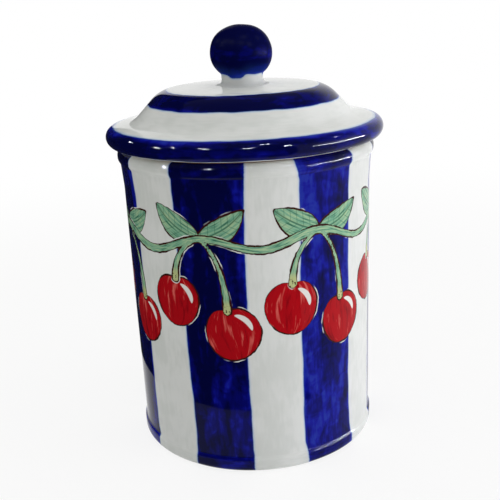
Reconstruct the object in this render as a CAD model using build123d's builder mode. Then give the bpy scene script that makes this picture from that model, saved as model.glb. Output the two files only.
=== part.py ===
from build123d import *
import os
from math import atan2, cos, degrees, radians, sin, tan

# Biscuit jar in glazed earthenware, in millimetres. The foot stands on z = 0, about the Z axis.
# The lid rests flat on the rim, with its locating ring inside the mouth. The knob stands flat on
# the crown of the lid, where slip holds it.

# Jar: wall and floor
jar_height = 187.8
foot_wall_radius = 74.3
rim_wall_radius = 75.6
wall = 6.0
floor_thickness = 7.0
floor_corner_rounding = 12.0

# Jar: the proud band at the foot, and the ring that it stands on
foot_band_height = 10.0
foot_band_proud = 1.1
foot_bottom_rounding = 4.0
foot_shoulder_height = 1.8
foot_shoulder_rounding = 3.0
foot_ring_width = 8.0
foot_recess_depth = 3.0
foot_recess_rounding = 2.0

# Jar: the flare under the rim, and the rolled band of the rim
flare_height = 15.0
flare_gain = 1.1
rim_band_height = 9.8
rim_band_proud = 1.5
rim_underside_height = 2.0
rim_underside_rounding = 2.5
rim_top_rounding = 3.6
mouth_rounding = 1.5

# Lid: brim, dome and crown
brim_thickness = 11.5
brim_overhang = 5.7
brim_slope = 12.0
dome_foot_radius = 66.4
dome_foot_rounding = 12.0
flank_slope = 46.4
shoulder_rounding = 19.0
crown_height = 32.2
crown_slope = 2.1
lid_wall = 6.0
lid_hollow_rounding = 14.0

# Lid: the ring that drops into the mouth
locating_clearance = 1.8
locating_depth = 10.0
locating_width = 5.0
locating_rounding = 1.6

# Knob
stem_radius = 12.8
stem_foot_radius = 16.2
stem_foot_edge = 0.6
stem_flare_rounding = 3.0
ball_radius = 18.8
ball_half_height = 16.4
ball_side_rounding = 15.0
ball_centre_height = 18.6
stem_top_rounding = 1.5

pick_tolerance = 0.01  # for choosing a corner by its place


# Jar: outside and hollow turned about the axis, and the foot ring cut in from below
foot_band_radius = foot_wall_radius + foot_band_proud
flare_radius = rim_wall_radius + flare_gain
rim_radius = flare_radius + rim_band_proud
rim_band_bottom = jar_height - rim_band_height
floor_top = foot_recess_depth + floor_thickness
mouth_radius = rim_wall_radius - wall

with BuildPart() as jar_body:
    with BuildSketch(Plane.XZ):
        with BuildLine():
            FilletPolyline(
                (0, 0),
                (foot_band_radius, 0),
                (foot_band_radius, foot_band_height - foot_shoulder_height),
                (foot_wall_radius, foot_band_height),
                (rim_wall_radius, rim_band_bottom - flare_height),
                (flare_radius, rim_band_bottom),
                (rim_radius, rim_band_bottom + rim_underside_height),
                (rim_radius, jar_height),
                (0, jar_height),
                radius=[
                    0,
                    foot_bottom_rounding,
                    foot_shoulder_rounding,
                    foot_shoulder_rounding,
                    4 * flare_height,
                    rim_underside_rounding,
                    rim_underside_rounding,
                    rim_top_rounding,
                    0,
                ],
                close=True,
            )
        make_face()
    revolve(axis=Axis.Z)

    with BuildSketch(Plane.XZ):
        with BuildLine():
            FilletPolyline(
                (0, floor_top),
                (foot_wall_radius - wall, floor_top),
                (mouth_radius, jar_height),
                (0, jar_height),
                radius=[0, floor_corner_rounding, 0, 0],
                close=True,
            )
        make_face()
    revolve(axis=Axis.Z, mode=Mode.SUBTRACT)

    with BuildSketch():
        Circle(foot_band_radius - foot_bottom_rounding - foot_ring_width)
    recess = extrude(amount=foot_recess_depth, mode=Mode.SUBTRACT)
    fillet(recess.edges().group_by(Axis.Z)[-1], radius=foot_recess_rounding)

    mouth_edge = jar_body.edges().group_by(Axis.Z)[-1].sort_by(SortBy.RADIUS)[0]
    fillet(mouth_edge, radius=mouth_rounding)

jar_body.part.label = "jar_body"


# Lid: the full round of the brim and the dome are one section, hollowed by a second one that
# keeps lid_wall under the flank and the crown
brim_roll = brim_thickness / 2
brim_centre_radius = rim_radius + brim_overhang - brim_roll
brim_centre_height = jar_height + brim_roll
crown_top = jar_height + crown_height
knob_seat_radius = stem_foot_radius + stem_foot_edge

brim_edge_radius = brim_centre_radius + brim_roll * sin(radians(brim_slope))
brim_edge_height = brim_centre_height + brim_roll * cos(radians(brim_slope))
dome_foot_height = brim_edge_height + (brim_edge_radius - dome_foot_radius) * tan(radians(brim_slope))

# The shoulder is where the flank's line meets the crown's
flank_tan = tan(radians(flank_slope))
crown_tan = tan(radians(crown_slope))
shoulder_radius = (
    dome_foot_height + dome_foot_radius * flank_tan - crown_top - knob_seat_radius * crown_tan
) / (flank_tan - crown_tan)
shoulder_height = crown_top - (shoulder_radius - knob_seat_radius) * crown_tan

locating_outer_radius = mouth_radius - locating_clearance
locating_inner_radius = locating_outer_radius - locating_width
flank_drop = lid_wall / cos(radians(flank_slope))
hollow_knee_height = dome_foot_height + (dome_foot_radius - locating_inner_radius) * flank_tan - flank_drop
crown_underside = crown_top - (shoulder_radius - knob_seat_radius) * crown_tan - lid_wall
hollow_crown_radius = locating_inner_radius - (crown_underside - hollow_knee_height) / flank_tan

with BuildPart() as lid:
    with BuildSketch(Plane.XZ):
        with BuildLine():
            FilletPolyline(
                (0, jar_height),
                (brim_centre_radius, jar_height),
                (brim_centre_radius, brim_centre_height),
                (brim_edge_radius, brim_edge_height),
                (dome_foot_radius, dome_foot_height),
                (shoulder_radius, shoulder_height),
                (knob_seat_radius, crown_top),
                (0, crown_top),
                radius=[0, 0, 0, 0, dome_foot_rounding, shoulder_rounding, 0, 0],
                close=True,
            )
        make_face()
        with Locations((brim_centre_radius, brim_centre_height)):
            Circle(brim_roll)
    revolve(axis=Axis.Z)

    with BuildSketch(Plane.XY.offset(jar_height)):
        Circle(locating_outer_radius)
    ring = extrude(amount=-locating_depth)

    with BuildSketch(Plane.XZ):
        with BuildLine():
            FilletPolyline(
                (0, jar_height - locating_depth),
                (locating_inner_radius, jar_height - locating_depth),
                (locating_inner_radius, hollow_knee_height),
                (hollow_crown_radius, crown_underside),
                (0, crown_underside),
                radius=[0, 0, lid_hollow_rounding, lid_hollow_rounding, 0],
                close=True,
            )
        make_face()
    revolve(axis=Axis.Z, mode=Mode.SUBTRACT)

    fillet(lid.edges().group_by(Axis.Z)[0], radius=locating_rounding)

lid.part.label = "lid"


# Knob: an oblate ball on a short stem that flares to its foot.
# The ball's section is an oval of three arcs: one round the side, and a flatter one at each pole.
ball_centre = crown_top + ball_centre_height
side_centre = ball_radius - ball_side_rounding
pole_rounding = (side_centre**2 + ball_half_height**2 - ball_side_rounding**2) / (
    2 * (ball_half_height - ball_side_rounding)
)
pole_centre = pole_rounding - ball_half_height
meeting_angle = degrees(atan2(pole_centre, side_centre))

with BuildPart() as knob:
    with BuildSketch(Plane.XZ) as knob_section:
        with BuildLine():
            FilletPolyline(
                (0, crown_top),
                (stem_foot_radius, crown_top),
                (stem_foot_radius, crown_top + stem_foot_edge),
                (stem_radius, crown_top + stem_foot_edge),
                (stem_radius, ball_centre),
                (0, ball_centre),
                radius=[0, 0, 0, stem_flare_rounding, 0, 0],
                close=True,
            )
        make_face()
        with BuildLine():
            CenterArc((side_centre, ball_centre), ball_side_rounding, -meeting_angle, 2 * meeting_angle)
            CenterArc((0, ball_centre - pole_centre), pole_rounding, meeting_angle, 90 - meeting_angle)
            CenterArc((0, ball_centre + pole_centre), pole_rounding, -90, 90 - meeting_angle)
            Line((0, ball_centre + ball_half_height), (0, ball_centre - ball_half_height))
        make_face()
        stem_corners = knob_section.vertices().filter_by_position(
            Axis.X, stem_radius - pick_tolerance, stem_radius + pick_tolerance
        )
        fillet(stem_corners.sort_by(Axis.Y)[-1], radius=stem_top_rounding)
    revolve(axis=Axis.Z)

knob.part.label = "knob"

os.makedirs("parts", exist_ok=True)
for piece in (jar_body, lid, knob):
    export_step(piece.part, f"parts/{piece.part.label}.step")
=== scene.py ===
"""Dresses the biscuit jar: cobalt stripes and a fruit garland on white glaze, in a pale studio."""

import logging
import math
from dataclasses import dataclass, field
from enum import Enum
from typing import Optional, Sequence, Union

import bpy
import numpy as np
from mathutils import Matrix, Vector


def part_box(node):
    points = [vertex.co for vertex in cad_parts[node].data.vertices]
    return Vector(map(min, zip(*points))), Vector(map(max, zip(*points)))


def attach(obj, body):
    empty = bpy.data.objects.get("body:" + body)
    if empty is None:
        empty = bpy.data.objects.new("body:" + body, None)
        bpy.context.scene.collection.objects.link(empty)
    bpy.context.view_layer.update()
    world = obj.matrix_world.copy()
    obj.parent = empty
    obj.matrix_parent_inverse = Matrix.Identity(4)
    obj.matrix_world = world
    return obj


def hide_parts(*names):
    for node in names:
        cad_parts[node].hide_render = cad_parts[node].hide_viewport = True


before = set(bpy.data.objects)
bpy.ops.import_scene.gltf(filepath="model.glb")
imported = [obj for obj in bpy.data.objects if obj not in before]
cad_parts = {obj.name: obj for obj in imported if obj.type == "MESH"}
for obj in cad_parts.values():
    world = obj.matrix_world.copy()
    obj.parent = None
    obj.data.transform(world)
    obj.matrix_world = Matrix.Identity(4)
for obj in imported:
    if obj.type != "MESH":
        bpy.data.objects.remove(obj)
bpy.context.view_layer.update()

LOG = logging.getLogger("biscuit_jar")
MM = 0.001
FAR = 50.0  # in millimetres: a mark that stands for nowhere near

Array = np.ndarray
Angles = Union[float, Array]
Colour = tuple[float, float, float, float]
Socket = bpy.types.NodeSocket
Given = Union[float, Sequence[float], Socket]
Inputs = dict[Union[str, int], Given]


def chart(*levels: int) -> Colour:
    """The linear values, with full alpha, of a paint chart's red, green and blue from 0 to 255."""
    linear = [n / 255 / 12.92 if n <= 10 else ((n / 255 + 0.055) / 1.055) ** 2.4 for n in levels]
    return (*linear, 1.0)


class Body(str, Enum):
    """The moving bodies that pieces ride on."""

    JAR = "jar"
    LID = "lid"


class Slot(str, Enum):
    """The record's material slots."""

    WHITE = "white_glaze"
    BLUE = "blue_glaze"


class Mark(str, Enum):
    """What a piece carries at each point for its painter, in millimetres."""

    BLUE = "blue_inset"
    CLAY = "clay_inset"
    STROKES = "strokes"
    # Besides the depth of the cobalt, the load mark carries painted shade and painted light on the jar's
    # rim band, the lid's brim and the knob.
    LOAD = "paint_load_and_light"
    FRUIT = "fruit"
    LEAF = "leaf"
    STEM = "stem"


# --- Turned shapes ---------------------------------------------------------------------------


@dataclass(frozen=True)
class Bend:
    """One corner of a half section.

    Args:
        radius: its distance from the axis.
        height: its height above the foot.
        rounding: radius of the arc that replaces it; 0 leaves it sharp.
        spacing: longest distance between two points of the run up to it; 0 is the usual one.
    """

    radius: float
    height: float
    rounding: float = 0.0
    spacing: float = 0.0

    @property
    def place(self) -> Vector:
        """The corner as a point of the half section."""
        return Vector((self.radius, self.height))


class HalfSection:
    """A half section as corners joined by straight runs, with rounded corners."""

    WIDEST_STEP = math.radians(9)

    def __init__(self, corners: Sequence[Bend], spacing: float) -> None:
        """Rounds the corners and divides the runs.

        Args:
            corners: the corners in order, from the axis round the piece and back to the axis.
            spacing: the usual longest distance between two points along the outline.
        """
        self.points = [corners[0].place]
        for before, corner, after in zip(corners, corners[1:], [*corners[2:], None]):
            longest = corner.spacing or spacing
            stops = [corner.place]
            if corner.rounding > 0.0:
                back = (before.place - corner.place).normalized()
                ahead = (after.place - corner.place).normalized()
                half_angle = back.angle(ahead) / 2
                to_centre = corner.rounding / math.sin(half_angle)
                centre = corner.place + (back + ahead).normalized() * to_centre
                start = corner.place + back * (corner.rounding / math.tan(half_angle)) - centre
                turn = math.copysign(math.pi - 2 * half_angle, start.x * ahead.y - start.y * ahead.x)
                by_length = math.ceil(abs(turn) * corner.rounding / longest)
                steps = max(by_length, math.ceil(abs(turn) / self.WIDEST_STEP))
                turns = [Matrix.Rotation(turn * step / steps, 2) for step in range(steps + 1)]
                stops = [centre + rotation @ start for rotation in turns]
            for stop in stops:
                last = self.points[-1]
                pieces = max(1, math.ceil((stop - last).length / longest))
                self.points += [last.lerp(stop, n / pieces) for n in range(1, pieces + 1)]
        lengths = [(there - here).length for here, there in zip(self.points, self.points[1:])]
        self.reached = np.concatenate([[0.0], np.cumsum(lengths)])

    def reach(self, radius: float, height: float) -> float:
        """How far along the outline its point lies that is nearest to a place."""
        gaps = [(point - Vector((radius, height))).length for point in self.points]
        return float(self.reached[gaps.index(min(gaps))])


class TurnedPiece:
    """A piece turned about the Z axis, as on a potter's wheel."""

    MERGED = 0.01 * MM
    SOFT_UP_TO = math.radians(40)
    BATCHES = 16

    def __init__(self, name: str, corners: Sequence[Bend], spacing: float, facets: int) -> None:
        """Merges a plane to one point, extrudes it along the half section and spins the chain.

        Args:
            name: name of the piece.
            corners: the half section's corners, from the axis round the piece and back to the axis.
            spacing: the usual longest distance between two points of the half section.
            facets: how many facets go round the piece.
        """
        self.section = HalfSection(corners, spacing)
        points = self.section.points
        bpy.ops.object.select_all(action="DESELECT")
        bpy.ops.mesh.primitive_plane_add(size=MM, location=(points[0].x, 0.0, points[0].y))
        self.object = bpy.context.object
        self.object.name = self.object.data.name = name
        bpy.ops.object.transform_apply(location=True, rotation=True, scale=True)
        bpy.ops.object.mode_set(mode="EDIT")
        bpy.ops.mesh.select_all(action="SELECT")
        bpy.ops.mesh.merge(type="CENTER")
        for here, there in zip(points, points[1:]):
            step = there - here
            bpy.ops.mesh.extrude_region_move(TRANSFORM_OT_translate={"value": (step.x, 0.0, step.y)})
        bpy.ops.object.mode_set(mode="OBJECT")
        self._spin(facets)
        self._survey()

    def _spin(self, facets: int) -> None:
        """Turns the chain once round the axis and closes seam and poles.

        Args:
            facets: how many facets go round.
        """
        wheel = self.object.modifiers.new("wheel", "SCREW")
        wheel.angle = math.tau
        wheel.steps = wheel.render_steps = facets
        wheel.use_merge_vertices = True
        wheel.merge_threshold = self.MERGED
        bpy.ops.object.modifier_apply(modifier=wheel.name)
        bpy.ops.object.mode_set(mode="EDIT")
        bpy.ops.mesh.select_all(action="SELECT")
        bpy.ops.mesh.remove_doubles(threshold=self.MERGED)
        bpy.ops.mesh.normals_make_consistent(inside=False)
        bpy.ops.mesh.select_all(action="DESELECT")
        bpy.ops.object.mode_set(mode="OBJECT")
        bpy.ops.object.shade_smooth_by_angle(angle=self.SOFT_UP_TO)

    def _survey(self) -> None:
        """Reads where each point of the mesh lies: angle, radius, height and place on the outline."""
        flat = np.empty(len(self.object.data.vertices) * 3)
        self.object.data.vertices.foreach_get("co", flat)
        x, y, self.height = flat.reshape(-1, 3).T
        self.angle = np.arctan2(x, -y)
        self.radius = np.hypot(x, y)
        outline = np.array(self.section.points)
        self.along = np.empty(len(x))
        for part in np.array_split(np.arange(len(x)), self.BATCHES):
            across = self.radius[part, None] - outline[:, 0]
            up = self.height[part, None] - outline[:, 1]
            self.along[part] = self.section.reached[np.hypot(across, up).argmin(axis=1)]

    def inside(self, start: Angles, end: Angles, crisp: tuple[float, float] = (1.0, 1.0)) -> Array:
        """How far inside a stretch of the outline each point lies, its ends more or less crisp."""
        return np.minimum(crisp[0] * (self.along - start), crisp[1] * (end - self.along)) / MM

    def mark(self, name: Mark, values: Array) -> None:
        """Writes one mark at every point.

        Args:
            name: what is written.
            values: one number for each point, or three.
        """
        kind, key = ("FLOAT_VECTOR", "vector") if values.ndim == 2 else ("FLOAT", "value")
        layer = self.object.data.attributes.new(name.value, kind, "POINT")
        layer.data.foreach_set(key, np.ascontiguousarray(values, dtype=np.float32).ravel())

    def mark_turned_strokes(self, ring: float) -> None:
        """Marks strokes as a brush lays them on the wheel, read on a ring of the given radius."""
        strokes = [np.sin(self.angle) * ring, -np.cos(self.angle) * ring, self.along]
        self.mark(Mark.STROKES, np.stack(strokes, axis=-1) / MM)

    def soften(self, depth: float, size: float) -> None:
        """Gives the surface the slight unevenness of hand work, never beyond the turned shape.

        Args:
            depth: how deep the hollows go.
            size: how far they lie apart.
        """
        waves = bpy.data.textures.new(f"{self.object.name}_waves", "CLOUDS")
        waves.noise_scale = size
        waves.noise_depth = 1
        modifier = self.object.modifiers.new("hand_thrown", "DISPLACE")
        modifier.texture = waves
        modifier.mid_level = 1.0
        modifier.strength = depth
        bpy.context.view_layer.objects.active = self.object
        bpy.ops.object.modifier_apply(modifier=modifier.name)


def turn_from(start: Angles, angle: Array) -> Array:
    """The shorter way round from one angle to another, in radians."""
    return (angle - start + math.pi) % math.tau - math.pi


def rise(values: Array, start: float, end: float) -> Array:
    """How far values have come on the way from start to end, 0 to 1."""
    return np.clip((values - start) / (end - start), 0.0, 1.0)


def wander(angle: Array, turns: Sequence[int], seed: int) -> Array:
    """An unsteady line round the axis, about -1 to 1, with so many waves to a turn in its parts."""
    phases = np.random.default_rng(seed).uniform(0, math.tau, len(turns))
    return sum(np.sin(turn * angle + phase) for turn, phase in zip(turns, phases)) / len(turns) ** 0.5


# --- The garland -------------------------------------------------------------------------------


def turned(across: Array, up: Array, angle: float) -> tuple[Array, Array]:
    """Places on the unrolled wall, as a motif sees them that is turned by an angle."""
    cos, sin = math.cos(angle), math.sin(angle)
    return across * cos + up * sin, up * cos - across * sin


@dataclass(frozen=True)
class Fruit:
    """A round fruit with a dimple where its stalk goes in, in millimetres of the unrolled wall.

    Args:
        size: radius.
        lean: how far it is turned to the left, in radians.
        dimple: depth of the dimple, as a share of the radius.
        dimple_width: half the dimple's width, in radians.
    """

    size: float
    lean: float
    dimple: float = 0.13
    dimple_width: float = 0.34

    def measure(self, across: Array, up: Array) -> Array:
        """Where points lie on the fruit.

        Args:
            across: distance to the right of its centre.
            up: distance above its centre.

        Returns:
            For each point, its place in radii to the right and up, and its distance outside the edge.
        """
        x, y = turned(across, up, self.lean)
        turn = np.arctan2(y, x)
        notch = self.dimple * np.exp(-(((turn - math.pi / 2) / self.dimple_width) ** 2))
        lobes = 0.02 * np.sin(3 * turn + 9 * self.lean) - 0.015 * np.cos(2 * turn)
        edge = np.hypot(x, y) - self.size * (1 + lobes - notch)
        return np.stack([x / self.size, y / self.size, edge], axis=-1)


@dataclass(frozen=True)
class Leaf:
    """A pointed leaf that grows from its base, in millimetres of the unrolled wall.

    Args:
        length: from base to tip.
        width: across its widest place.
        heading: direction from base to tip, in radians above the line to the right.
        bow: how far its middle is bent to the left of that line.
        base_curve: how fast it widens from its base, a power of the share of its length.
        tip_curve: how fast it narrows to its tip, a power too.
        fullest: what both powers come to at its widest place.
    """

    length: float
    width: float
    heading: float
    bow: float
    base_curve: float = 0.62
    tip_curve: float = 0.85
    fullest: float = 0.365

    def measure(self, across: Array, up: Array) -> Array:
        """Where points lie on the leaf.

        Args:
            across: distance to the right of its base.
            up: distance above its base.

        Returns:
            For each point, its share of the length, its distance from the midrib, and its distance
            outside the edge.
        """
        x, y = turned(across, up, self.heading)
        share = np.clip(x / self.length, 0.0, 1.0)
        side = y - 4 * self.bow * share * (1 - share)
        half = self.width / 2 * share**self.base_curve * (1 - share) ** self.tip_curve / self.fullest
        beside, beyond = np.abs(side) - half, x - share * self.length
        edge = np.hypot(np.maximum(beside, 0.0), beyond) + np.minimum(beside, 0.0) * 0.8
        return np.stack([share, side, edge], axis=-1)


@dataclass(frozen=True)
class Stalk:
    """A brush stroke along a bent line, in millimetres of the unrolled wall.

    Args:
        bend: the point that pulls its middle sideways.
        end: where it ends.
        thin: its width where it starts.
        thick: its width where it ends.
        stops: how many points its line has.
    """

    bend: tuple[float, float]
    end: tuple[float, float]
    thin: float = 2.2
    thick: float = 5.0
    stops: int = 25

    def measure(self, across: Array, up: Array) -> Array:
        """Where points lie on the stroke.

        Args:
            across: distance to the right of its start.
            up: distance above its start.

        Returns:
            For each point, its distance from the stroke's end, its distance to the right of the
            middle, and its distance outside the edge.
        """
        share = np.linspace(0.0, 1.0, self.stops)
        line = np.outer(2 * share * (1 - share), self.bend) + np.outer(share**2, self.end)
        start, step = line[:-1], np.diff(line, axis=0)
        length = np.linalg.norm(step, axis=1)
        way = step / length[:, None]
        offset = np.stack([across, up], axis=-1)[:, None, :] - start
        reach = np.clip((offset * way).sum(-1), 0.0, length)
        distance = np.linalg.norm(offset - reach[..., None] * way, axis=-1)
        pick = distance.argmin(axis=1)
        rows = np.arange(len(pick))
        along = np.concatenate([[0.0], np.cumsum(length)])[pick] + reach[rows, pick]
        side = offset[rows, pick, 0] * way[pick, 1] - offset[rows, pick, 1] * way[pick, 0]
        grown = along / length.sum()
        half = (self.thin + (self.thick - self.thin) * grown**2) / 2
        return np.stack([length.sum() - along, side, distance[rows, pick] - half], axis=-1)


Motif = Union[Fruit, Leaf, Stalk]


@dataclass
class Garland:
    """A vine round the jar with pairs of fruit below it and leaves above, in millimetres.

    reach says how far across and up from its base a motif is drawn.
    """

    wall_radius: float = 75.2
    sprigs: int = 7
    first_angle: float = math.radians(-21)
    vine_height: float = 141.0
    vine_wave: float = 4.0
    vine_width: float = 4.4
    fruit_size: float = 15.6
    left_drop: float = 40.0
    right_drop: float = 57.0
    spread: float = 17.5
    leaf_length: float = 33.0
    leaf_width: float = 15.0
    left_heading: float = 2.55
    right_heading: float = 0.5
    seed: int = 11
    reach: tuple[float, float] = (48.0, 76.8)
    placed: list[tuple[Mark, float, float, Motif]] = field(default_factory=list)

    def vine(self, angle: Angles) -> Angles:
        """Height of the vine's middle above the foot, at angles round the jar in radians."""
        swing = np.cos(self.sprigs * (angle - self.first_angle)) + 0.35 * np.sin(3 * angle + 1.0)
        return self.vine_height + self.vine_wave * swing

    def compose(self) -> None:
        """Places every fruit, leaf and stalk, no two sprigs quite the same."""
        random = np.random.default_rng(self.seed)
        for number in range(self.sprigs):
            angle = self.first_angle + math.tau * number / self.sprigs + random.uniform(-0.02, 0.02)
            height = float(self.vine(angle))
            for side, drop in ((-1, self.left_drop), (1, self.right_drop)):
                size = self.fruit_size * random.uniform(0.95, 1.05)
                across = side * (self.spread + random.uniform(-0.8, 0.8))
                down = -(drop + random.uniform(-2.5, 2.5))
                lean = side * random.uniform(0.02, 0.2)
                crown = size * 0.84
                tip = (across - crown * math.sin(lean), down + crown * math.cos(lean))
                stalk = Stalk((tip[0] * 0.95, tip[1] * 0.25), tip)
                hung_at = angle + across / self.wall_radius
                self.placed.append((Mark.FRUIT, hung_at, height + down, Fruit(size, lean)))
                self.placed.append((Mark.STEM, angle, height, stalk))
            for side, heading in ((-1, self.left_heading), (1, self.right_heading)):
                leaf = Leaf(
                    length=self.leaf_length * random.uniform(0.88, 1.08),
                    width=self.leaf_width * random.uniform(0.9, 1.1),
                    heading=heading + random.uniform(-0.12, 0.12),
                    bow=-side * random.uniform(1.5, 3.5),
                )
                self.placed.append((Mark.LEAF, angle, height, leaf))

    def draw(self, piece: TurnedPiece, painted: Array) -> None:
        """Marks on the piece where each point lies on fruit, leaf and stem.

        Args:
            piece: the piece that is painted.
            painted: which of its points lie on the wall's outside.
        """
        self.compose()
        height = piece.height / MM
        for kind in (Mark.FRUIT, Mark.LEAF, Mark.STEM):
            marks = np.tile((0.0, 0.0, FAR), (len(height), 1))
            if kind is Mark.STEM:
                marks[painted] = self._vine_marks(piece.angle[painted], height[painted])
            for _, angle, base, motif in (entry for entry in self.placed if entry[0] is kind):
                across, up = turn_from(angle, piece.angle) * self.wall_radius, height - base
                near = painted & (np.abs(across) < self.reach[0]) & (np.abs(up) < self.reach[1])
                index = np.flatnonzero(near)
                found = motif.measure(across[index], up[index])
                closer = found[:, 2] < marks[index, 2]
                marks[index[closer]] = found[closer]
            piece.mark(kind, marks)

    def _vine_marks(self, angle: Array, height: Array) -> Array:
        """Where points lie on the vine.

        Args:
            angle: where round the jar, in radians.
            height: height above the foot.

        Returns:
            For each point, its distance along the vine from behind the jar, its distance above the
            middle, and its distance outside the edge.
        """
        step = 0.01
        slope = (self.vine(angle + step) - self.vine(angle - step)) / (2 * step * self.wall_radius)
        side = (height - self.vine(angle)) / np.hypot(1.0, slope)
        half = self.vine_width / 2 * (1 + 0.16 * np.sin(5 * angle))
        along = (angle + math.tau) * self.wall_radius
        return np.stack([along, side, np.abs(side) - half], axis=-1)


# --- Shader tools ------------------------------------------------------------------------------


class Graph:
    """A node tree with short ways to add and link its nodes."""

    def __init__(self, tree: bpy.types.NodeTree) -> None:
        """Keeps the tree that nodes are added to."""
        self.tree = tree

    def feed(self, socket: Socket, given: Given) -> None:
        """Links a socket or sets its value.

        Args:
            socket: the input.
            given: another node's output, or a number, vector or colour.
        """
        if isinstance(given, Socket):
            self.tree.links.new(given, socket)
        else:
            socket.default_value = given

    def add(self, kind: str, given: Optional[Inputs] = None, **settings: object) -> bpy.types.Node:
        """Adds a node.

        Args:
            kind: Blender's name of the node.
            given: what its inputs get, by name or number.
            **settings: the node's own settings.

        Returns:
            The node.
        """
        node = self.tree.nodes.new(kind)
        for name, value in settings.items():
            setattr(node, name, value)
        for name, value in (given or {}).items():
            self.feed(node.inputs[name], value)
        return node

    def mark(self, name: Mark) -> bpy.types.NodeOutputs:
        """Reads one of the piece's marks: Fac is a number, Vector is three."""
        return self.add("ShaderNodeAttribute", attribute_name=name.value).outputs

    def math(self, operation: str, *given: Given, clamp: bool = False) -> Socket:
        """Adds a Math node, kept between 0 and 1 if it is clamped, and returns its result."""
        node = self.add("ShaderNodeMath", dict(enumerate(given)), operation=operation, use_clamp=clamp)
        return node.outputs[0]

    def times(self, value: Given, factor: Given) -> Socket:
        """Multiplies two values."""
        return self.math("MULTIPLY", value, factor)

    def total(self, first: Given, *others: Given) -> Given:
        """Adds values up.

        Args:
            first: the first value.
            *others: what is added to it.

        Returns:
            Their sum.
        """
        for other in others:
            first = self.math("ADD", first, other)
        return first

    def dome(self, value: Given, bulge: float = 1.0, least: float = 0.0) -> Socket:
        """The height of a round dome at a distance from its middle, and at least the given one."""
        fall = self.math("MULTIPLY_ADD", self.times(value, value), -bulge, 1.0)
        return self.math("SQRT", self.math("MAXIMUM", fall, least))

    def scaled(self, vector: Given, factor: float) -> Socket:
        """Multiplies a vector by a number."""
        node = self.add("ShaderNodeVectorMath", {0: vector, 1: (factor,) * 3}, operation="MULTIPLY")
        return node.outputs[0]

    def split(self, vector: Given) -> bpy.types.NodeOutputs:
        """The three numbers of a vector."""
        return self.add("ShaderNodeSeparateXYZ", {0: vector}).outputs

    def combined(self, *numbers: Given) -> Socket:
        """Up to three numbers as a vector."""
        return self.add("ShaderNodeCombineXYZ", dict(enumerate(numbers))).outputs[0]

    def between(
        self, value: Given, start: float, end: float, low: float = 0.0, high: float = 1.0
    ) -> Socket:
        """Goes smoothly from low to high while the value goes from start to end."""
        given = {"Value": value, "From Min": start, "From Max": end, "To Min": low, "To Max": high}
        return self.add("ShaderNodeMapRange", given, interpolation_type="SMOOTHSTEP").outputs[0]

    def blend(self, share: Given, first: Given, second: Given) -> Socket:
        """Mixes two colours, with the given share of the second one."""
        return self.add("ShaderNodeMix", {0: share, 6: first, 7: second}, data_type="RGBA").outputs[2]

    def noise(self, vector: Given, size: float, detail: float = 2.0, swirl: float = 0.0) -> Socket:
        """Adds soft noise, 0 to 1 about 0.5, with patches of a size in the vector's own units."""
        given = {"Vector": vector, "Scale": 1 / size, "Detail": detail, "Distortion": swirl}
        return self.add("ShaderNodeTexNoise", given).outputs[0]

    def shake(self, vector: Given, strength: float, size: float, **more: float) -> Socket:
        """Adds noise about 0 that spans the given strength."""
        return self.math("MULTIPLY_ADD", self.noise(vector, size, **more), strength, -strength / 2)

    def ramp(self, value: Given, places: Sequence[float], colours: Sequence[Colour]) -> Socket:
        """Turns a value into a colour.

        Args:
            value: 0 to 1.
            places: values in order.
            colours: the colours there.

        Returns:
            The colour's socket.
        """
        node = self.add("ShaderNodeValToRGB", {0: value})
        elements = node.color_ramp.elements
        while len(elements) < len(places):
            elements.new(1.0)
        for element, place, colour in zip(elements, places, colours):
            element.position, element.color = place, colour
        return node.outputs[0]


class Effect:
    """A node group that materials share."""

    SOCKETS = {"value": "NodeSocketFloat", "vector": "NodeSocketVector", "colour": "NodeSocketColor"}

    def __init__(self, name: str, inputs: dict[str, str], outputs: dict[str, str]) -> None:
        """Makes an empty group.

        Args:
            name: the group's name.
            inputs: its inputs and their kinds.
            outputs: its outputs and their kinds.
        """
        self.tree = bpy.data.node_groups.new(name, "ShaderNodeTree")
        for way, sockets in (("INPUT", inputs), ("OUTPUT", outputs)):
            for label, kind in sockets.items():
                self.tree.interface.new_socket(name=label, in_out=way, socket_type=self.SOCKETS[kind])
        self.graph = Graph(self.tree)
        self.given = self.graph.add("NodeGroupInput").outputs
        self.results = self.graph.add("NodeGroupOutput").inputs

    def give(self, **results: Given) -> None:
        """Feeds the group's outputs by name."""
        for name, result in results.items():
            self.graph.feed(self.results[name], result)

    def place(self, graph: Graph, **given: Given) -> bpy.types.NodeOutputs:
        """Places the group in another tree, with its inputs by name, and returns its outputs."""
        return graph.add("ShaderNodeGroup", given, node_tree=self.tree).outputs


def new_material(name: str, given: Inputs) -> tuple[bpy.types.Material, Graph, bpy.types.Node]:
    """Makes a material with a Principled shader.

    Args:
        name: the material's name.
        given: what the shader's inputs get.

    Returns:
        The material, its graph and the shader.
    """
    material = bpy.data.materials.new(name)
    material.use_nodes = True
    graph, shader = Graph(material.node_tree), material.node_tree.nodes["Principled BSDF"]
    for label, value in given.items():
        graph.feed(shader.inputs[label], value)
    return material, graph, shader


# --- Effects -----------------------------------------------------------------------------------


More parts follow.
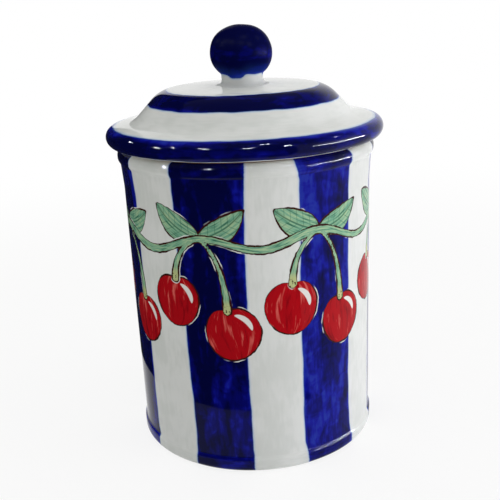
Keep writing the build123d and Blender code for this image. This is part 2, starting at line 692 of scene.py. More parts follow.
class GlazeBody(Effect):
    """The tin glaze itself: its white, its gloss and the softness of its surface."""

    TINT = chart(231, 233, 229)
    PATCH = chart(222, 225, 220)
    GLOSSIEST = 0.025
    DULLEST = 0.06

    def __init__(self) -> None:
        """Builds the group."""
        super().__init__(
            "glaze_body",
            {"Grain": "vector", "Strokes": "vector"},
            {"Tint": "colour", "Roughness": "value", "Height": "value"},
        )
        graph, grain = self.graph, self.given["Grain"]
        cloud = graph.noise(grain, size=22.0, detail=3.0)
        brushed = graph.noise(self.given["Strokes"], size=2.2, detail=1.0)
        patchy = graph.between(graph.total(graph.times(cloud, 0.7), graph.times(brushed, 0.3)), 0.4, 0.62)
        swell = graph.times(graph.noise(grain, size=26.0, detail=1.0), 0.1)
        ripple = graph.times(graph.noise(grain, size=5.0, detail=1.0), 0.004)
        self.give(
            Tint=graph.blend(patchy, self.TINT, self.PATCH),
            Roughness=graph.between(graph.noise(grain, size=9.0), 0.3, 0.7, self.GLOSSIEST, self.DULLEST),
            Height=graph.total(swell, ripple, graph.times(brushed, 0.003)),
        )


class CobaltWash(Effect):
    """Cobalt laid on with a broad brush: pooled dark where strokes overlap, pale where it runs out."""

    BLEED = chart(172, 196, 226)
    HALO_AND_REFLECTION = chart(46, 82, 160)
    DEPTHS = (chart(30, 46, 158), chart(18, 24, 150), chart(8, 11, 106), chart(4, 7, 60))
    LOADS = (0.0, 0.22, 0.5, 0.9)

    def __init__(self) -> None:
        """Builds the group."""
        super().__init__(
            "cobalt_wash",
            {"Inset": "value", "Grain": "vector", "Strokes": "vector", "Fill": "value"},
            {"Colour": "colour", "Cover": "value", "Load": "value", "Bleed": "value"},
        )
        graph, strokes = self.graph, self.given["Strokes"]
        edge = graph.total(self.given["Inset"], graph.shake(strokes, 0.55, size=1.3))
        pooled = graph.between(graph.noise(strokes, size=15.0, swirl=0.7), 0.36, 0.64, 0.0, 0.62)
        lined = graph.shake(strokes, 0.9, size=2.4)
        dabs = graph.shake(self.given["Grain"], 0.9, size=8.0, detail=1.5, swirl=1.2)
        brush = graph.total(self.given["Fill"], graph.between(edge, 0.0, 3.0, -0.3, 0.0))
        load = graph.math("ADD", graph.total(pooled, lined, dabs), brush, clamp=True)
        body = graph.ramp(load, self.LOADS, self.DEPTHS)
        self.give(
            Colour=graph.blend(graph.between(edge, 0.05, 0.75), self.HALO_AND_REFLECTION, body),
            Cover=graph.between(edge, -0.22, 0.3),
            Load=load,
            Bleed=graph.between(edge, -1.2, 0.1, 0.0, 0.75),
        )


class DrawnEdge(Effect):
    """A fine brush line round a motif, now thick, now thin, with a hair of bare glaze outside it."""

    THINNEST = 0.2
    THICKEST = 0.62

    def __init__(self) -> None:
        """Builds the group."""
        super().__init__(
            "drawn_edge",
            {"Edge": "value", "Grain": "vector"},
            {"Cover": "value", "Line": "value", "Gap": "value"},
        )
        graph, grain = self.graph, self.given["Grain"]
        edge = graph.total(self.given["Edge"], graph.shake(grain, 0.9, size=3.0))
        weight = graph.between(graph.noise(grain, size=11.0), 0.35, 0.65, self.THINNEST, self.THICKEST)
        outer = graph.math("SUBTRACT", edge, weight)
        broken = graph.between(graph.noise(grain, size=14.0), 0.5, 0.6)
        self.give(
            Cover=graph.between(outer, -0.12, 0.12, 1.0, 0.0),
            Line=graph.between(graph.total(edge, weight), -0.15, 0.2),
            Gap=graph.times(broken, graph.between(outer, 0.45, 0.7, 1.0, 0.0)),
        )


@dataclass(frozen=True)
class MotifPaint:
    """The colours of the garland and the way that they are laid on.

    The fruit's crescent of light lies round its centre, its sizes in radii and in radians.
    """

    line: Colour = chart(58, 24, 20)
    crimson: Colour = chart(176, 16, 26)
    dark_red: Colour = chart(132, 10, 20)
    pale_red: Colour = chart(216, 96, 88)
    shine: Colour = chart(236, 232, 226)
    mint: Colour = chart(120, 176, 146)
    pale_mint: Colour = chart(176, 203, 160)
    dark_green: Colour = chart(58, 110, 84)
    cap: Colour = chart(196, 200, 138)
    crescent_radius: float = 0.68
    crescent_heading: float = 0.62
    crescent_reach: float = 0.66
    crescent_width: float = 0.115

    def paint(self, graph: Graph, edges: Effect, grain: Given, ground: Given, bare: Given) -> Given:
        """Paints the leaves, the fruit and the stems, each with its outline.

        Args:
            graph: the material's tree.
            edges: the effect that draws outlines.
            grain: Object coordinates in millimetres.
            ground: the colour that they are painted on.
            bare: the colour of the glaze with no paint.

        Returns:
            The ground's colour with the garland on it.
        """
        for mark, brush in ((Mark.LEAF, self._leaf), (Mark.FRUIT, self._fruit), (Mark.STEM, self._stem)):
            first, second, edge = graph.split(graph.mark(mark)["Vector"])
            drawn = edges.place(graph, Edge=edge, Grain=grain)
            ink = graph.blend(drawn["Line"], brush(graph, grain, first, second), self.line)
            ground = graph.blend(drawn["Gap"], ground, bare)
            ground = graph.blend(drawn["Cover"], ground, ink)
        return ground

    def _fruit(self, graph: Graph, grain: Given, x: Given, y: Given) -> Given:
        """Brushes the fruit from top to bottom, and leaves one crescent of light.

        Args:
            graph: the material's tree.
            grain: Object coordinates in millimetres.
            x: place to the right of the fruit's centre, in radii.
            y: place above it, in radii.

        Returns:
            The fruit's colour.
        """
        meridian = graph.math("DIVIDE", x, graph.dome(y, bulge=0.85, least=0.08))
        own = graph.split(graph.scaled(grain, 0.03))[0]
        strokes = graph.combined(graph.times(meridian, 5.0), graph.times(y, 0.9), own)
        streak = graph.noise(strokes, size=1.0, detail=3.0, swirl=0.3)
        reds = (self.dark_red, self.crimson, self.crimson, self.pale_red)
        body = graph.ramp(streak, (0.3, 0.45, 0.58, 0.68), reds)
        rho = graph.math("SQRT", graph.total(graph.times(x, x), graph.times(y, y)))
        away = graph.math("ABSOLUTE", graph.math("SUBTRACT", rho, self.crescent_radius))
        phi = graph.math("SUBTRACT", graph.math("ARCTAN2", y, x), self.crescent_heading)
        swell = graph.dome(graph.math("DIVIDE", phi, self.crescent_reach))
        crescent = graph.times(swell, self.crescent_width)
        glint = graph.between(graph.math("SUBTRACT", crescent, away), 0.008, 0.028)
        return graph.blend(glint, body, self.shine)

    def _greens(self, graph: Graph, strokes: Given, places: Sequence[float]) -> Given:
        """Streaks of dark green, mint and pale mint along the strokes."""
        streak = graph.noise(strokes, size=1.0, detail=3.0)
        return graph.ramp(streak, places, (self.dark_green, self.mint, self.pale_mint))

    def _leaf(self, graph: Graph, grain: Given, share: Given, side: Given) -> Given:
        """Brushes a leaf: a dark midrib and slanting veins on mint.

        Args:
            graph: the material's tree.
            grain: Object coordinates in millimetres; not used here.
            share: place along the leaf, as a share of its length.
            side: distance from the midrib.

        Returns:
            The leaf's colour.
        """
        strokes = graph.combined(graph.times(share, 2.0), graph.times(side, 0.8))
        off = graph.math("ABSOLUTE", side)
        rib = graph.between(off, 0.25, 0.6, 0.8, 0.0)
        slant = graph.math("SUBTRACT", graph.times(share, 44.0), graph.times(off, 0.9))
        vein = graph.between(graph.math("SINE", slant), 0.9, 0.99, 0.0, 0.55)
        body = self._greens(graph, strokes, (0.34, 0.46, 0.66))
        return graph.blend(graph.math("MAXIMUM", rib, vein), body, self.dark_green)

    def _stem(self, graph: Graph, grain: Given, along: Given, side: Given) -> Given:
        """Brushes vine and stalks: streaked mint, and yellowish caps with dark dots at the fruit.

        Args:
            graph: the material's tree.
            grain: Object coordinates in millimetres.
            along: distance from the stroke's end.
            side: distance from its middle.

        Returns:
            The stem's colour.
        """
        strokes = graph.combined(graph.times(along, 0.12), graph.times(side, 1.1))
        body = self._greens(graph, strokes, (0.32, 0.44, 0.62))
        capped = graph.blend(graph.between(along, 3.0, 8.0, 0.85, 0.0), body, self.cap)
        dots = graph.between(graph.noise(grain, size=1.1, detail=0.0), 0.6, 0.66)
        near_fruit = graph.between(along, 1.0, 4.0, 0.9, 0.0)
        return graph.blend(graph.times(dots, near_fruit), capped, self.line)


@dataclass(frozen=True)
class PaintedGlaze:
    """The finish of a turned piece: white glaze, cobalt brushed on it, and clay where it was wiped.

    Args:
        name: the material's name.
        extra_roughness: how much duller this piece is than fresh glaze.
        shine: its specular level.
        pale_reflection: how far the cobalt is paled towards light blue near an edge of the paint, a
            painted reflection of the white glaze beside it.
        fading: where that begins and ends, in millimetres inside the edge.
        motifs: the garland's paint, on the piece that carries it.
        clay: the colour of the clay, kept dark so that the clay in the gap under the lid also serves as
            painted shade.
        clay_roughness: how dull it is.
        paint_height: how high full paint stands, in millimetres.
    """

    name: str
    extra_roughness: float = 0.0
    shine: float = 0.075
    pale_reflection: float = 0.0
    fading: tuple[float, float] = (0.5, 10.0)
    motifs: Optional[MotifPaint] = None
    # The clay's darkness also serves as painted shade in the gap under the lid.
    clay: Colour = chart(174, 128, 98)
    clay_roughness: float = 0.75
    paint_height: float = 0.01

    def build(self, glaze: Effect, cobalt: Effect, edges: Effect) -> bpy.types.Material:
        """Makes the material.

        Args:
            glaze: the effect that gives the white glaze.
            cobalt: the effect that gives the blue.
            edges: the effect that draws outlines.

        Returns:
            The material.
        """
        material, graph, shader = new_material(self.name, {"Specular IOR Level": self.shine})
        grain = graph.scaled(graph.add("ShaderNodeTexCoord").outputs["Object"], 1 / MM)
        strokes = graph.mark(Mark.STROKES)["Vector"]
        inset, load = graph.mark(Mark.BLUE)["Fac"], graph.mark(Mark.LOAD)["Fac"]
        base = glaze.place(graph, Grain=grain, Strokes=strokes)
        blue = cobalt.place(graph, Inset=inset, Grain=grain, Strokes=strokes, Fill=load)
        tinged = graph.blend(blue["Bleed"], base["Tint"], CobaltWash.BLEED)
        # On the knob the cobalt is paled near its edge as a painted reflection of the crown's white.
        thin = graph.between(inset, *self.fading, self.pale_reflection, 0.0)
        painted = graph.blend(thin, blue["Colour"], CobaltWash.HALO_AND_REFLECTION)
        colour = graph.blend(blue["Cover"], tinged, painted)
        if self.motifs:
            colour = self.motifs.paint(graph, edges, grain, colour, base["Tint"])
        wiped = graph.between(graph.mark(Mark.CLAY)["Fac"], -0.2, 0.3)
        gloss = graph.total(base["Roughness"], self.extra_roughness)
        roughness = graph.math("MAXIMUM", gloss, graph.times(wiped, self.clay_roughness))
        raised = graph.times(graph.times(blue["Cover"], blue["Load"]), self.paint_height)
        height = graph.total(base["Height"], raised)
        bump = graph.add("ShaderNodeBump", {"Strength": 1.0, "Distance": MM, "Height": height})
        graph.feed(shader.inputs["Base Color"], graph.blend(wiped, colour, self.clay))
        graph.feed(shader.inputs["Roughness"], roughness)
        graph.feed(shader.inputs["Normal"], bump.outputs[0])
        return material


# --- The three pieces --------------------------------------------------------------------------


@dataclass
class JarBody:
    """The jar: foot ring, foot band, nearly straight wall and rolled rim, open inside.

    Each row of stripe_edges is one edge of a blue stripe, left and right by turns: its angles above
    the foot band and below the rim band in degrees, and how far it steps aside on the rim in
    millimetres. The last few lengths say how far wiped clay and glaze reach past each other. Past the
    seat the wiped clay runs down into the gap under the lid, where its dark colour is painted shade.
    """

    rim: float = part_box("jar_body")[1][0]
    height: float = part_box("jar_body")[1][2]
    rim_proud: float = 1.5 * MM
    rim_band: float = 9.8 * MM
    rim_underside: float = 2.0 * MM
    rim_rounding: float = 4.6 * MM
    seat: float = 72.6 * MM
    seat_edge: float = 0.4 * MM
    seat_rise: float = 0.9 * MM
    flare_gain: float = 1.1 * MM
    flare_height: float = 15.0 * MM
    foot_wall: float = 74.3 * MM
    foot_proud: float = 1.1 * MM
    foot_band: float = 10.0 * MM
    foot_shoulder: float = 1.8 * MM
    foot_rounding: float = 4.0 * MM
    ring_width: float = 8.0 * MM
    recess: float = 3.0 * MM
    wall: float = 6.0 * MM
    floor: float = 7.0 * MM
    facets: int = 360
    fine: float = 1.5 * MM
    coarse: float = 6.0 * MM
    stripe_edges: Sequence[tuple[float, float, float]] = (
        (-86, -86, 0.4), (-57, -58.4, -0.2), (-30.2, -33, 0.3), (-2.8, -2, 0.7),
        (21.8, 21.2, -2.6), (49.5, 48, 1.6), (73.5, 73, -0.5), (99, 99, 1.2),
        (124, 124, -1.5), (150, 151, -0.3), (176, 175, 0.9), (201, 202, 1.4),
        (226, 225, -1.0), (251, 251, 0.6),
    )
    stripe_seed: int = 5
    stripe_loads: Sequence[float] = (0.38, 0.5, 0.13, 0.3, 0.45, 0.25, 0.4)
    unevenness: tuple[float, float] = (0.35 * MM, 55 * MM)
    wiped_past_foot: float = 1.6 * MM
    clay_shade_past_seat: float = 0.5 * MM
    glazed_past_seat: float = 2.0 * MM

    def build(self) -> None:
        """Turns the jar."""
        flare = self.rim - self.rim_proud
        self.rim_wall = flare - self.flare_gain
        self.foot = self.foot_wall + self.foot_proud
        self.ring_inner = self.foot - self.foot_rounding - self.ring_width
        self.band = self.height - self.rim_band
        self.seat_height = self.height - self.seat_rise
        self.piece = TurnedPiece(
            "jar_painted",
            [
                Bend(0.0, self.recess),
                Bend(self.ring_inner, self.recess, rounding=2 * MM),
                Bend(self.ring_inner, 0.0, rounding=0.8 * MM),
                Bend(self.foot, 0.0, self.foot_rounding, self.fine),
                Bend(self.foot, self.foot_band - self.foot_shoulder, 3 * MM, self.fine),
                Bend(self.foot_wall, self.foot_band, 3 * MM, self.fine),
                Bend(self.rim_wall, self.band - self.flare_height, 60 * MM, self.fine),
                Bend(flare, self.band, 2.5 * MM, self.fine),
                Bend(self.rim, self.band + self.rim_underside, 4 * MM, self.fine),
                Bend(self.rim, self.seat_height, self.rim_rounding, self.fine),
                Bend(self.seat, self.seat_height, rounding=0.3 * MM),
                Bend(self.seat - self.seat_edge, self.height, rounding=0.4 * MM),
                Bend(self.rim_wall - self.wall, self.height, rounding=1.5 * MM),
                Bend(self.foot_wall - self.wall, self.recess + self.floor, rounding=12 * MM),
                Bend(0.0, self.recess + self.floor),
            ],
            self.coarse,
            self.facets,
        )

    def paint(self) -> None:
        """Marks stripes, wiped seat and foot, load and garland, with painted shade below the lid."""
        piece, reach = self.piece, self.piece.section.reach
        ground = reach(self.foot - self.foot_rounding, 0.0)
        top = reach(self.rim - self.rim_rounding, self.seat_height)
        piece.mark(Mark.BLUE, np.minimum(self._stripes(), piece.inside(ground, top)))
        foot_wiped = piece.inside(reach(self.ring_inner, 1 * MM), ground + self.wiped_past_foot)
        # The wiped seat is real bare clay, and past the rim's top it runs into the gap under the lid as
        # painted shade.
        mouth = reach(self.seat - self.glazed_past_seat, self.height)
        seat_wiped_and_gap_shade = piece.inside(top - self.clay_shade_past_seat, mouth)
        piece.mark(Mark.CLAY, np.maximum(foot_wiped, seat_wiped_and_gap_shade))
        x, y = piece.radius * np.sin(piece.angle), -piece.radius * np.cos(piece.angle)
        upright = np.stack([x, y, piece.height * 0.24], axis=-1) / MM
        level = np.stack([x * 0.25, y * 0.25, piece.height * 1.3], axis=-1) / MM
        banded = (piece.height > self.band) | (piece.height < self.foot_band)
        piece.mark(Mark.STROKES, np.where(banded[:, None], level, upright))
        piece.mark(Mark.LOAD, self._brush_load_and_rim_shade())
        Garland().draw(piece, (piece.along > ground) & (piece.along < top))

    def _stripes(self) -> Array:
        """How far inside the nearest blue stripe each point lies.

        Returns:
            For each point, a distance in millimetres, negative outside the stripes.
        """
        share = (self.piece.height - self.foot_band) / (self.band - self.foot_band)
        share = np.clip(share, -0.05, 1.05)
        random = np.random.default_rng(self.stripe_seed)
        inset = np.full(len(share), -FAR)
        lines = []
        for low, high, step in self.stripe_edges:
            low, high = math.radians(low), math.radians(high)
            phases = random.uniform(0, math.tau, 4)
            shake = 0.55 * np.sin(share * 5.2 + phases[0]) + 0.3 * np.sin(share * 14 + phases[1])
            shake += 0.12 * np.sin(share * 47 + phases[2])
            jog = step * rise(share, 0.985, 1.035)
            jog += 1.1 * np.cos(phases[3]) * rise(share, 0.035, 0.005)
            lines.append(low + (high - low) * share + (shake + jog) * MM / self.rim_wall)
        for left, right in zip(lines[::2], lines[1::2]):
            middle, half = (left + right) / 2, (right - left) / 2
            turn = np.abs(turn_from(middle, self.piece.angle))
            inset = np.maximum(inset, (half - turn) * self.rim_wall / MM)
        return inset

    def _brush_load_and_rim_shade(self) -> Array:
        """How full the brush was, with deeper paint on the rim band as painted shade under the lid's
        brim.

        Returns:
            For each point, what is added to the paint's depth.
        """
        angle, height = self.piece.angle, self.piece.height
        load = np.full(len(angle), 0.4)
        sides = [math.radians(low) for low, _, _ in self.stripe_edges]
        for left, right, filled in zip(sides[::2], sides[1::2], self.stripe_loads):
            middle, half = (left + right) / 2, (right - left) / 2 + 0.1
            load[np.abs(turn_from(middle, angle)) < half] = filled
        # The deeper paint on the rim band is painted shade under the lid's brim.
        return load - 0.08 * np.cos(height / self.height * 7) + 0.2 * (height > self.band)


@dataclass
class Lid:
    """The lid: full-round brim, domed crown, hollow underside and locating ring.

    band_outer, band_inner and brim_paint are places on the outline, as radius and height. Between
    them and brim_start, which is counted from the brim's underside, the lid is blue.
    """

    brim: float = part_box("lid")[1][0]
    bottom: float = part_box("lid")[0][2]
    crown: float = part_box("lid")[1][2]
    seat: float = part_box("jar_body")[1][2]
    thickness: float = 11.5 * MM
    brim_slope: float = math.radians(12)
    dome_foot: float = 66.4 * MM
    dome_foot_rounding: float = 12.0 * MM
    shoulder: float = 50.2 * MM
    shoulder_drop: float = 1.2 * MM
    shoulder_rounding: float = 19.0 * MM
    wall: float = 6.0 * MM
    ring_outer: float = 67.8 * MM
    ring_width: float = 5.0 * MM
    ring_rounding: float = 1.6 * MM
    hollow_knee: float = 197.0 * MM
    hollow_crown: float = 42.0 * MM
    hollow_rounding: float = 14.0 * MM
    knob_seat: float = 16.8 * MM
    band_outer: tuple[float, float] = (57.4 * MM, 210.1 * MM)
    band_inner: tuple[float, float] = (45.4 * MM, 218.9 * MM)
    brim_paint: tuple[float, float] = (80.0 * MM, 199.0 * MM)
    brim_start: float = 2.1 * MM
    brim_past: float = 1.7 * MM
    facets: int = 360
    fine: float = 1.2 * MM
    coarse: float = 4.0 * MM
    unevenness: tuple[float, float] = (0.3 * MM, 40 * MM)
    strokes_ring: float = 14.0 * MM

    def build(self) -> None:
        """Turns the lid."""
        roll = self.thickness / 2
        slope = math.tan(self.brim_slope)
        top = self.seat + roll + roll / math.cos(self.brim_slope)
        hollow = self.ring_outer - self.ring_width
        foot_height = top + (self.brim - roll - self.dome_foot) * slope
        shoulder_height = self.crown - self.shoulder_drop
        ceiling = shoulder_height - self.wall
        self.piece = TurnedPiece(
            "lid_painted",
            [
                Bend(0.0, ceiling),
                Bend(self.hollow_crown, ceiling, self.hollow_rounding),
                Bend(hollow, self.hollow_knee, self.hollow_rounding),
                Bend(hollow, self.bottom, self.ring_rounding),
                Bend(self.ring_outer, self.bottom, self.ring_rounding),
                Bend(self.ring_outer, self.seat),
                Bend(self.brim, self.seat, roll, self.fine),
                Bend(self.brim, top - roll * slope, roll, self.fine),
                Bend(self.dome_foot, foot_height, self.dome_foot_rounding, self.fine),
                Bend(self.shoulder, shoulder_height, self.shoulder_rounding, self.fine),
                Bend(self.knob_seat, self.crown, 0.0, self.fine),
                Bend(0.0, self.crown),
            ],
            self.coarse,
            self.facets,
        )

    def paint(self) -> None:
        """Marks the painted brim, with painted shade and light in its paint, the band and the wiped seat.
        """
        piece, reach = self.piece, self.piece.section.reach
        under = reach(self.brim - 5 * MM, self.seat)
        brim_end = reach(*self.brim_paint) + self.brim_past
        bands = (
            (under + self.brim_start, brim_end, (3.0, 0.5), 1),
            (reach(*self.band_outer), reach(*self.band_inner), (1.0, 1.0), 2),
        )
        inset = np.full(len(piece.along), -FAR)
        for start, end, crisp, seed in bands:
            start_line = start + 0.25 * MM * wander(piece.angle, (2, 5, 11, 23), seed)
            end_line = end + 0.22 * MM * wander(piece.angle, (3, 4, 9, 27), seed + 10)
            inset = np.maximum(inset, piece.inside(start_line, end_line, crisp))
        piece.mark(Mark.BLUE, inset)
        # The brim's paint is deeper towards its underside as painted shade, thinner over the roll's top
        # as painted light, and thinner on the right than on the left as painted light and shade from the
        # window.
        climbed = piece.along - under
        lit_roll_top = rise(climbed, 10 * MM, 16 * MM)
        pooled = rise(climbed, 7 * MM, 2 * MM)
        brim_load_and_painted_light = 0.52 - 0.14 * np.sin(piece.angle) + 0.25 * pooled - 0.38 * lit_roll_top
        piece.mark(Mark.LOAD, np.where(piece.along < brim_end + 3 * MM, brim_load_and_painted_light, 0.74))
        ring_inner = reach(self.ring_outer - self.ring_width, self.bottom + 2 * MM)
        piece.mark(Mark.CLAY, piece.inside(ring_inner, under - 3.5 * MM))
        piece.mark_turned_strokes(self.strokes_ring)


@dataclass
class Knob:
    """The knob: an oblate ball on a short neck that flares into the crown.

    The ball's section is a superellipse, an ellipse at a fullness of 2. Each row of scallops is one
    lobe of paint on the neck: its angle and half width in degrees, and its depth in millimetres.
    """

    radius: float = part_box("knob")[1][0]
    bottom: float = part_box("knob")[0][2]
    top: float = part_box("knob")[1][2]
    half_height: float = 16.4 * MM
    fullness: float = 2.2
    neck: float = 12.8 * MM
    foot: float = 16.4 * MM
    sunk: float = 0.5 * MM
    facets: int = 160
    fine: float = 0.9 * MM
    finest: float = 0.6 * MM
    ball_points: int = 40
    scallops: Sequence[tuple[float, float, float]] = (
        (-16, 22, 2.1), (95, 26, 1.2), (170, 20, 1.8), (-110, 28, 1.0),
    )
    unevenness: tuple[float, float] = (0.8 * MM, 14 * MM)
    strokes_ring: float = 5.0 * MM

    def build(self) -> None:
        """Turns the knob."""
        middle = self.top - self.half_height
        join = math.asin(((self.neck + 1.6 * MM) / self.radius) ** (self.fullness / 2))
        ball = []
        for turn in np.linspace(math.pi - join, 0.0, self.ball_points):
            out = math.sin(turn) ** (2 / self.fullness)
            up = math.copysign(abs(math.cos(turn)) ** (2 / self.fullness), math.cos(turn))
            ball.append(Bend(self.radius * out, middle + self.half_height * up))
        drop = (1 - (self.neck / self.radius) ** self.fullness) ** (1 / self.fullness)
        self.neck_top = middle - self.half_height * drop
        self.piece = TurnedPiece(
            "knob_painted",
            [
                Bend(0.0, self.bottom - self.sunk),
                Bend(self.foot, self.bottom - self.sunk),
                Bend(self.foot, self.bottom - self.sunk / 2),
                Bend(self.neck, self.bottom + 0.4 * MM, 3 * MM, self.finest),
                Bend(self.neck, self.neck_top, 1.4 * MM, self.finest),
                *ball,
            ],
            self.fine,
            self.facets,
        )

    def paint(self) -> None:
        """Marks the painted ball and its scallops on the neck, with painted reflection and light in its
        paint.
        """
        piece = self.piece
        edge = piece.section.reach(self.neck, self.neck_top) + 0.4 * MM
        edge = edge + 0.2 * MM * wander(piece.angle, (2, 5, 9), 3)
        for angle, width, depth in self.scallops:
            turn = turn_from(math.radians(angle), piece.angle)
            edge = edge - depth * MM * np.exp(-((turn / math.radians(width)) ** 4))
        climbed = piece.along - edge
        piece.mark(Mark.BLUE, climbed / MM)
        # Paint thins towards the neck as a painted reflection of the crown's white, and on the right as
        # painted light; the rings are brush bands.
        filled = rise(climbed, 0.0, 14 * MM)
        rings = 0.1 * np.cos(climbed * math.tau / (15 * MM))
        piece.mark(Mark.LOAD, 0.05 + 0.6 * filled - rings - 0.1 * np.sin(piece.angle))
        piece.mark(Mark.CLAY, np.full(len(edge), -FAR))
        piece.mark_turned_strokes(self.strokes_ring)


# --- Studio ------------------------------------------------------------------------------------


@dataclass(frozen=True)
class View:
    """The camera that looks at the jar from a little above.

    Args:
        focal: focal length in pixels of a square frame.
        frame_size: the frame's side in pixels.
        distance: how far in front of the axis it stands.
        height: its height above the foot.
        pitch: how far it looks down, in radians.
        yaw: how far it looks to the right, in radians.
        roll: how far it leans, in radians.
    """

    focal: float = 811.3
    frame_size: float = 500.0
    distance: float = 494.5 * MM
    height: float = 271.4 * MM
    pitch: float = 0.3061
    yaw: float = -0.0003
    roll: float = -0.0467

    def build(self) -> None:
        """Makes the camera the scene's own."""
        data = bpy.data.cameras.new("view")
        data.sensor_width = 36.0
        data.lens = self.focal / self.frame_size * data.sensor_width
        data.clip_start, data.clip_end = 0.01, 30.0
        camera = bpy.data.objects.new("view", data)
        bpy.context.scene.collection.objects.link(camera)
        camera.matrix_world = Matrix.Translation((0.0, -self.distance, self.height))
        for angle, axis in ((-self.yaw, "Z"), (math.pi / 2 - self.pitch, "X"), (self.roll, "Z")):
            camera.matrix_world @= Matrix.Rotation(angle, 4, axis)
        bpy.context.scene.camera = camera


@dataclass(frozen=True)
class Lamp:
    """A rectangular lamp that shines on the jar.

    Args:
        name: its name.
        azimuth: where it hangs, in degrees to the right of the front.
        elevation: how high, in degrees above the target.
        size: its width and height.
        power: its power in watts.
        tint: its colour.
        distance: how far from the target.
    """

    name: str
    azimuth: float
    elevation: float
    size: tuple[float, float]
    power: float
    tint: Colour
    distance: float = 1.5

    def hang(self, target: Sequence[float]) -> bpy.types.Object:
        """Hangs the lamp.

        Args:
            target: where it shines.

        Returns:
            The lamp's object.
        """
        data = bpy.data.lights.new(self.name, "AREA")
        data.shape = "RECTANGLE"
        data.size, data.size_y = self.size
        data.energy = self.power
        data.color = self.tint[:3]
        lamp = bpy.data.objects.new(self.name, data)
        bpy.context.scene.collection.objects.link(lamp)
        turn, tilt = math.radians(self.azimuth), math.radians(self.elevation)
        away = Vector((math.sin(turn) * math.cos(tilt), -math.cos(turn) * math.cos(tilt), math.sin(tilt)))
        lamp.location = Vector(target) + away * self.distance
        lamp.rotation_euler = away.to_track_quat("Z", "Y").to_euler()
        lamp.visible_camera = False
        return lamp


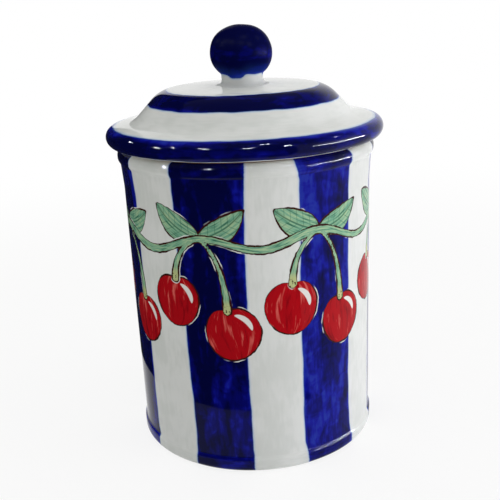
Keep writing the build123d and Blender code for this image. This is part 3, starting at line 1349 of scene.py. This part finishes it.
@dataclass(frozen=True)
class Studio:
    """A pale floor in white surroundings, a soft window at the right and small lamps above.

    At the front and the left stand a dark table and wall that only reflections see. Each row of
    glints is one small lamp: its azimuth and elevation in degrees, its width and its brightness.
    """

    target: tuple[float, float, float] = (0.0, 0.0, 0.13)
    white: Colour = (1.0, 1.0, 1.0, 1.0)
    floor_reach: float = 12.0
    floor_colour: Colour = chart(244, 244, 242)
    near: float = 0.3
    far: float = 0.9
    horizon: float = 0.045
    overhead: float = 1.4
    ceiling: float = 0.2
    wall_colour: Colour = chart(40, 42, 48)
    wall_turns: tuple[float, float] = (-168.0, 41.0)
    wall_reach: float = 2.0
    wall_height: float = 2.5
    table_edge: float = 0.145
    table_lift: float = 1.0 * MM
    window: Lamp = Lamp("window", 78, 6, (1.3, 0.6), 12.6, chart(250, 248, 255), 1.6)
    fill: Lamp = Lamp("fill", -25, -3, (0.9, 0.2), 1.0, chart(255, 255, 255))
    strip: Lamp = Lamp("strip", 80, 2.2, (1.6, 0.026), 74.0, chart(232, 236, 255))
    glints: Sequence[tuple[float, float, float, float]] = (
        (-116, 30, 0.10, 0.2), (-77, 28, 0.14, 0.9), (-70, 41, 0.14, 0.9), (-38, 42, 0.2, 1.0),
        (1.5, 40, 0.16, 0.9), (26.5, 68, 0.16, 0.8), (36.7, 35, 0.16, 1.0), (94, 42, 0.12, 0.6),
    )
    glint_height: float = 0.022
    glint_power: float = 125.0
    glint_tint: Colour = chart(226, 234, 255)

    def light(self) -> None:
        """Hangs the window, a fill that adds no reflection, and lamps that only reflections see."""
        self.window.hang(self.target)
        self.fill.hang(self.target).visible_glossy = False
        mirrored = [self.strip]
        for number, (azimuth, elevation, width, share) in enumerate(self.glints):
            size, power = (width, self.glint_height), self.glint_power * width * share
            mirrored.append(Lamp(f"lamp_{number}", azimuth, elevation, size, power, self.glint_tint))
        for lamp in mirrored:
            lamp.hang(self.target).visible_diffuse = False

    def floor(self) -> None:
        """Lays the floor, which keeps the jar's shadow and turns white further off."""
        bpy.ops.object.select_all(action="DESELECT")
        bpy.ops.mesh.primitive_circle_add(vertices=96, radius=self.floor_reach, fill_type="NGON")
        floor = bpy.context.object
        floor.name = floor.data.name = "floor"
        given = {"Base Color": self.floor_colour, "Roughness": 0.9, "Specular IOR Level": 0.1}
        material, graph, shader = new_material("pale_floor", given)
        place = graph.add("ShaderNodeTexCoord").outputs["Object"]
        distance = graph.add("ShaderNodeVectorMath", {0: place}, operation="LENGTH").outputs["Value"]
        share = graph.times(graph.between(distance, self.near, self.far, 0.84, 1.0), self.seen(graph))
        white = graph.add("ShaderNodeEmission", {"Color": self.white, "Strength": 1.0})
        mixed = graph.add("ShaderNodeMixShader", {0: share, 1: shader.outputs[0], 2: white.outputs[0]})
        graph.feed(material.node_tree.nodes["Material Output"].inputs["Surface"], mixed.outputs[0])
        floor.data.materials.append(material)

    def surround(self) -> None:
        """Stands the dark table and wall round the front and the left."""
        bpy.ops.object.select_all(action="DESELECT")
        bpy.ops.mesh.primitive_circle_add(
            vertices=72, radius=self.wall_reach, location=(0.0, 0.0, self.table_lift)
        )
        surround = bpy.context.object
        surround.name = surround.data.name = "dark_surround"
        bpy.ops.object.transform_apply(location=True, rotation=True, scale=True)
        bpy.ops.object.mode_set(mode="EDIT")
        bpy.ops.mesh.select_all(action="DESELECT")
        bpy.ops.object.mode_set(mode="OBJECT")
        first, last = self.wall_turns
        for corner in surround.data.vertices:
            turn = math.degrees(math.atan2(corner.co.x, -corner.co.y))
            corner.select = not first <= turn <= last
        bpy.ops.object.mode_set(mode="EDIT")
        bpy.ops.mesh.delete(type="VERT")
        bpy.ops.mesh.select_all(action="SELECT")
        bpy.ops.mesh.extrude_region_move(TRANSFORM_OT_translate={"value": (0.0, 0.0, self.wall_height)})
        bpy.ops.mesh.select_all(action="INVERT")
        bpy.ops.mesh.extrude_region_move()
        inward = self.table_edge / self.wall_reach
        bpy.ops.transform.resize(value=(inward, inward, 1.0), center_override=(0.0, 0.0, 0.0))
        bpy.ops.object.mode_set(mode="OBJECT")
        given = {"Base Color": self.wall_colour, "Roughness": 1.0, "Specular IOR Level": 0.0}
        surround.data.materials.append(new_material("dark_surround", given)[0])
        surround.visible_camera = surround.visible_diffuse = surround.visible_shadow = False

    def seen(self, graph: Graph) -> Socket:
        """Tells the rays that show the surroundings from those that light the jar.

        Args:
            graph: the tree that asks.

        Returns:
            A socket with 1 for camera, glossy and transmission rays.
        """
        path = graph.add("ShaderNodeLightPath").outputs
        either = graph.math("MAXIMUM", path["Is Camera Ray"], path["Is Glossy Ray"])
        return graph.math("MAXIMUM", either, path["Is Transmission Ray"])

    def world(self) -> None:
        """Makes the surroundings white to the eye and moderate as a light."""
        world = bpy.data.worlds.new("studio")
        world.use_nodes = True
        bpy.context.scene.world = world
        graph, sky = Graph(world.node_tree), world.node_tree.nodes["Background"]
        up = graph.split(graph.add("ShaderNodeTexCoord").outputs["Generated"])[2]
        backdrop = graph.between(up, 0.35, 0.65, 1.0, self.ceiling)
        steep = graph.math("POWER", graph.math("MAXIMUM", up, 0.0), 2.0)
        light = graph.math("MULTIPLY_ADD", steep, self.overhead, self.horizon)
        given = {0: self.seen(graph), 2: light, 3: backdrop}
        strength = graph.add("ShaderNodeMix", given, data_type="FLOAT")
        graph.feed(sky.inputs["Color"], self.white)
        graph.feed(sky.inputs["Strength"], strength.outputs[0])


def main() -> None:
    """Builds everything in order and reports each piece."""
    View().build()
    effects = (GlazeBody(), CobaltWash(), DrawnEdge())
    # The knob's paint is paled near the neck as a painted reflection.
    dull = PaintedGlaze("knob_glaze", extra_roughness=0.3, shine=0.004, pale_reflection=0.25)
    parts = (
        (JarBody(), "jar_body", Body.JAR, Slot.WHITE, PaintedGlaze("jar_glaze", motifs=MotifPaint())),
        (Lid(), "lid", Body.LID, Slot.WHITE, PaintedGlaze("lid_glaze")),
        (Knob(), "knob", Body.LID, Slot.BLUE, dull),
    )
    for part, node, body, slot, finish in parts:
        part.build()
        part.paint()
        piece = part.piece
        piece.soften(*part.unevenness)
        piece.object.data.materials.clear()
        piece.object.data.materials.append(finish.build(*effects))
        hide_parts(node)
        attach(piece.object, body.value)
        LOG.info("%s: %d faces, stands for %s", piece.object.name, len(piece.object.data.polygons), node)
    studio = Studio()
    studio.floor()
    studio.surround()
    studio.light()
    studio.world()
    bpy.context.scene.view_settings.view_transform = "Standard"


if __name__ == "__main__":
    logging.basicConfig(level=logging.INFO, format="%(name)s: %(message)s")
    main()
